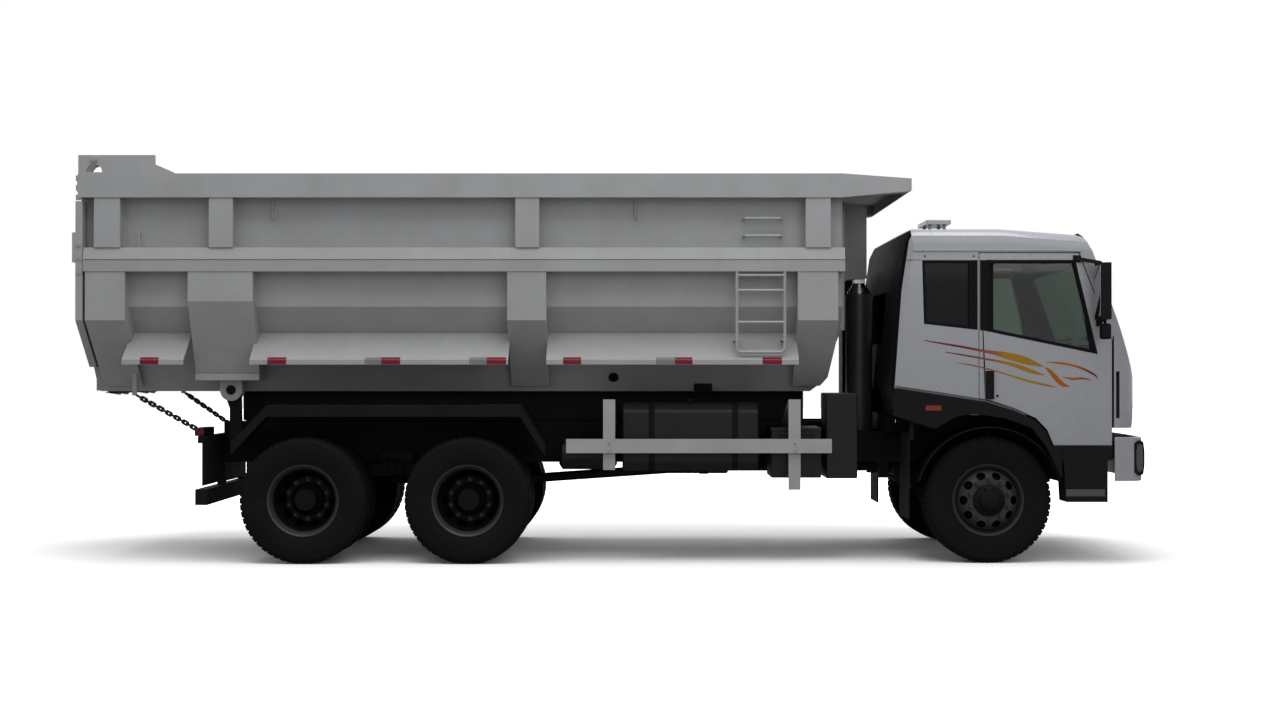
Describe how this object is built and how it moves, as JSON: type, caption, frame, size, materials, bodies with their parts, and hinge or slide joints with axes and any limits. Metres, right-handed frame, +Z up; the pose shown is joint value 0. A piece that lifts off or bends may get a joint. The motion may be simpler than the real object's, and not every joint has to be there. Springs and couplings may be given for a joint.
{
  "type": "dump truck",
  "caption": "Three-axle dump truck with a front hoist, tipping steel bed, top-hung tailgate, tilting cab and twin rear wheels.",
  "frame": {"origin": "middle of the truck's length and width, on the ground its tyres stand on", "axes": "+X forward, +Y to the driver's left, +Z up"},
  "size_m": [8.988, 3.02, 3.407],
  "materials": {
    "body_paint": "semi-gloss",
    "cab_paint": "semi-gloss",
    "chassis_black": "semi-gloss",
    "axle_black": "painted",
    "rim_steel": "semi-gloss",
    "tyre": "matt",
    "rubber": "matt",
    "black_plastic": "grained",
    "trim_plastic": "grained",
    "glass": "tinted",
    "lamp": "gloss",
    "hoist_steel": "oiled",
    "chain_steel": "dull"
  },
  "bodies": {
    "chassis": {"chassis_frame": "chassis_black", "tip_brackets": "chassis_black", "front_axle": "axle_black", "springs": "chassis_black", "drive_axles": "axle_black", "engine": "axle_black", "driveline": "axle_black", "fuel_tank": "chassis_black", "battery_box": "chassis_black", "oil_tank": "chassis_black", "air_tanks": "chassis_black", "exhaust": "chassis_black", "air_intake": "black_plastic", "side_guards": "body_paint", "rear_mudguards": "black_plastic", "mud_flaps": "rubber", "front_wings": "black_plastic", "bumper": "cab_paint", "lamps": "lamp", "tailgate_chains": "chain_steel"},
    "bed": {"bed_floor": "body_paint", "bed_sides": "body_paint", "bed_headboard": "body_paint", "bed_ribs": "body_paint", "bed_rails": "body_paint", "bed_skirts": "body_paint", "cab_guard": "body_paint", "bed_ladder": "body_paint", "bed_sills": "body_paint"},
    "gate": {"tailgate": "body_paint"},
    "barrel": {"hoist_barrel": "hoist_steel"},
    "stage_1": {"hoist_stage_1": "hoist_steel"},
    "stage_2": {"hoist_stage_2": "hoist_steel"},
    "stage_3": {"hoist_stage_3": "hoist_steel"},
    "stage_4": {"hoist_stage_4": "hoist_steel"},
    "cab": {"cab_shell": "cab_paint", "cab_glass": "glass", "cab_grille": "black_plastic", "cab_interior": "trim_plastic", "roof_hatch": "cab_paint"},
    "door_left": {"door_left": "cab_paint", "door_glass_left": "glass", "mirror_left": "black_plastic"},
    "steering_left": {"knuckle_left": "axle_black"},
    "wheel_front_left": {"tyre_front_left": "tyre", "rim_front_left": "rim_steel"},
    "wheel_rear1_left": {"tyres_rear1_left": "tyre", "rims_rear1_left": "rim_steel"},
    "wheel_rear2_left": {"tyres_rear2_left": "tyre", "rims_rear2_left": "rim_steel"},
    "door_right": {"door_right": "cab_paint", "door_glass_right": "glass", "mirror_right": "black_plastic"},
    "steering_right": {"knuckle_right": "axle_black"},
    "wheel_front_right": {"tyre_front_right": "tyre", "rim_front_right": "rim_steel"},
    "wheel_rear1_right": {"tyres_rear1_right": "tyre", "rims_rear1_right": "rim_steel"},
    "wheel_rear2_right": {"tyres_rear2_right": "tyre", "rims_rear2_right": "rim_steel"}
  },
  "joints": [
    {"name": "bed_tip", "type": "hinge", "parent": "chassis", "child": "bed", "pos_m": [-3.262, 0, 1.446], "axis": [0, -1, 0], "range_deg": [0, 45], "deforming": ["tailgate_chains"]},
    {"name": "tailgate_swing", "type": "hinge", "parent": "bed", "child": "gate", "pos_m": [-4.32, 0, 3.372], "axis": [0, 1, 0], "range_deg": [0, 75]},
    {"name": "hoist_swing", "type": "hinge", "parent": "chassis", "child": "barrel", "pos_m": [2.203, 0, 1], "axis": [0, -1, 0], "range_deg": [0, 26]},
    {"name": "cab_tilt", "type": "hinge", "parent": "chassis", "child": "cab", "pos_m": [4.25, 0, 1.09], "axis": [0, 1, 0], "range_deg": [0, 45]},
    {"name": "steer_left", "type": "hinge", "parent": "chassis", "child": "steering_left", "pos_m": [3.143, 0.88, 0.527], "axis": [0, 0, 1], "range_deg": [-35, 35]},
    {"name": "steer_right", "type": "hinge", "parent": "chassis", "child": "steering_right", "pos_m": [3.143, -0.88, 0.527], "axis": [0, 0, 1], "range_deg": [-35, 35]},
    {"name": "door_left_open", "type": "hinge", "parent": "cab", "child": "door_left", "pos_m": [4.13, 1.225, 1.7], "axis": [0, 0, -1], "range_deg": [0, 70]},
    {"name": "door_right_open", "type": "hinge", "parent": "cab", "child": "door_right", "pos_m": [4.13, -1.225, 1.7], "axis": [0, 0, 1], "range_deg": [0, 70]},
    {"name": "hoist_slide_1", "type": "slide", "parent": "barrel", "child": "stage_1", "axis": [0, 0, 1], "range_m": [0, 1.03]},
    {"name": "hoist_slide_2", "type": "slide", "parent": "stage_1", "child": "stage_2", "axis": [0, 0, 1], "range_m": [0, 1.03]},
    {"name": "hoist_slide_3", "type": "slide", "parent": "stage_2", "child": "stage_3", "axis": [0, 0, 1], "range_m": [0, 1.03]},
    {"name": "hoist_slide_4", "type": "slide", "parent": "stage_3", "child": "stage_4", "axis": [0, 0, 1], "range_m": [0, 1.03]},
    {"name": "wheel_spin_front_left", "type": "hinge", "parent": "steering_left", "child": "wheel_front_left", "pos_m": [3.143, 1, 0.527], "axis": [0, 1, 0], "continuous": true},
    {"name": "wheel_spin_rear1_left", "type": "hinge", "parent": "chassis", "child": "wheel_rear1_left", "pos_m": [-1.207, 0.935, 0.527], "axis": [0, 1, 0], "continuous": true},
    {"name": "wheel_spin_rear2_left", "type": "hinge", "parent": "chassis", "child": "wheel_rear2_left", "pos_m": [-2.577, 0.935, 0.527], "axis": [0, 1, 0], "continuous": true},
    {"name": "wheel_spin_front_right", "type": "hinge", "parent": "steering_right", "child": "wheel_front_right", "pos_m": [3.143, -1, 0.527], "axis": [0, 1, 0], "continuous": true},
    {"name": "wheel_spin_rear1_right", "type": "hinge", "parent": "chassis", "child": "wheel_rear1_right", "pos_m": [-1.207, -0.935, 0.527], "axis": [0, 1, 0], "continuous": true},
    {"name": "wheel_spin_rear2_right", "type": "hinge", "parent": "chassis", "child": "wheel_rear2_right", "pos_m": [-2.577, -0.935, 0.527], "axis": [0, 1, 0], "continuous": true}
  ],
  "couplings": [
    {"joint": "hoist_swing", "follows": "bed_tip", "ratio": 0.551},
    {"joint": "hoist_slide_1", "follows": "bed_tip", "m_per_rad": 1.2969},
    {"joint": "hoist_slide_2", "follows": "bed_tip", "m_per_rad": 1.2969},
    {"joint": "hoist_slide_3", "follows": "bed_tip", "m_per_rad": 1.2969},
    {"joint": "hoist_slide_4", "follows": "bed_tip", "m_per_rad": 1.2969},
    {"joint": "steer_right", "follows": "steer_left", "ratio": 1}
  ]
}
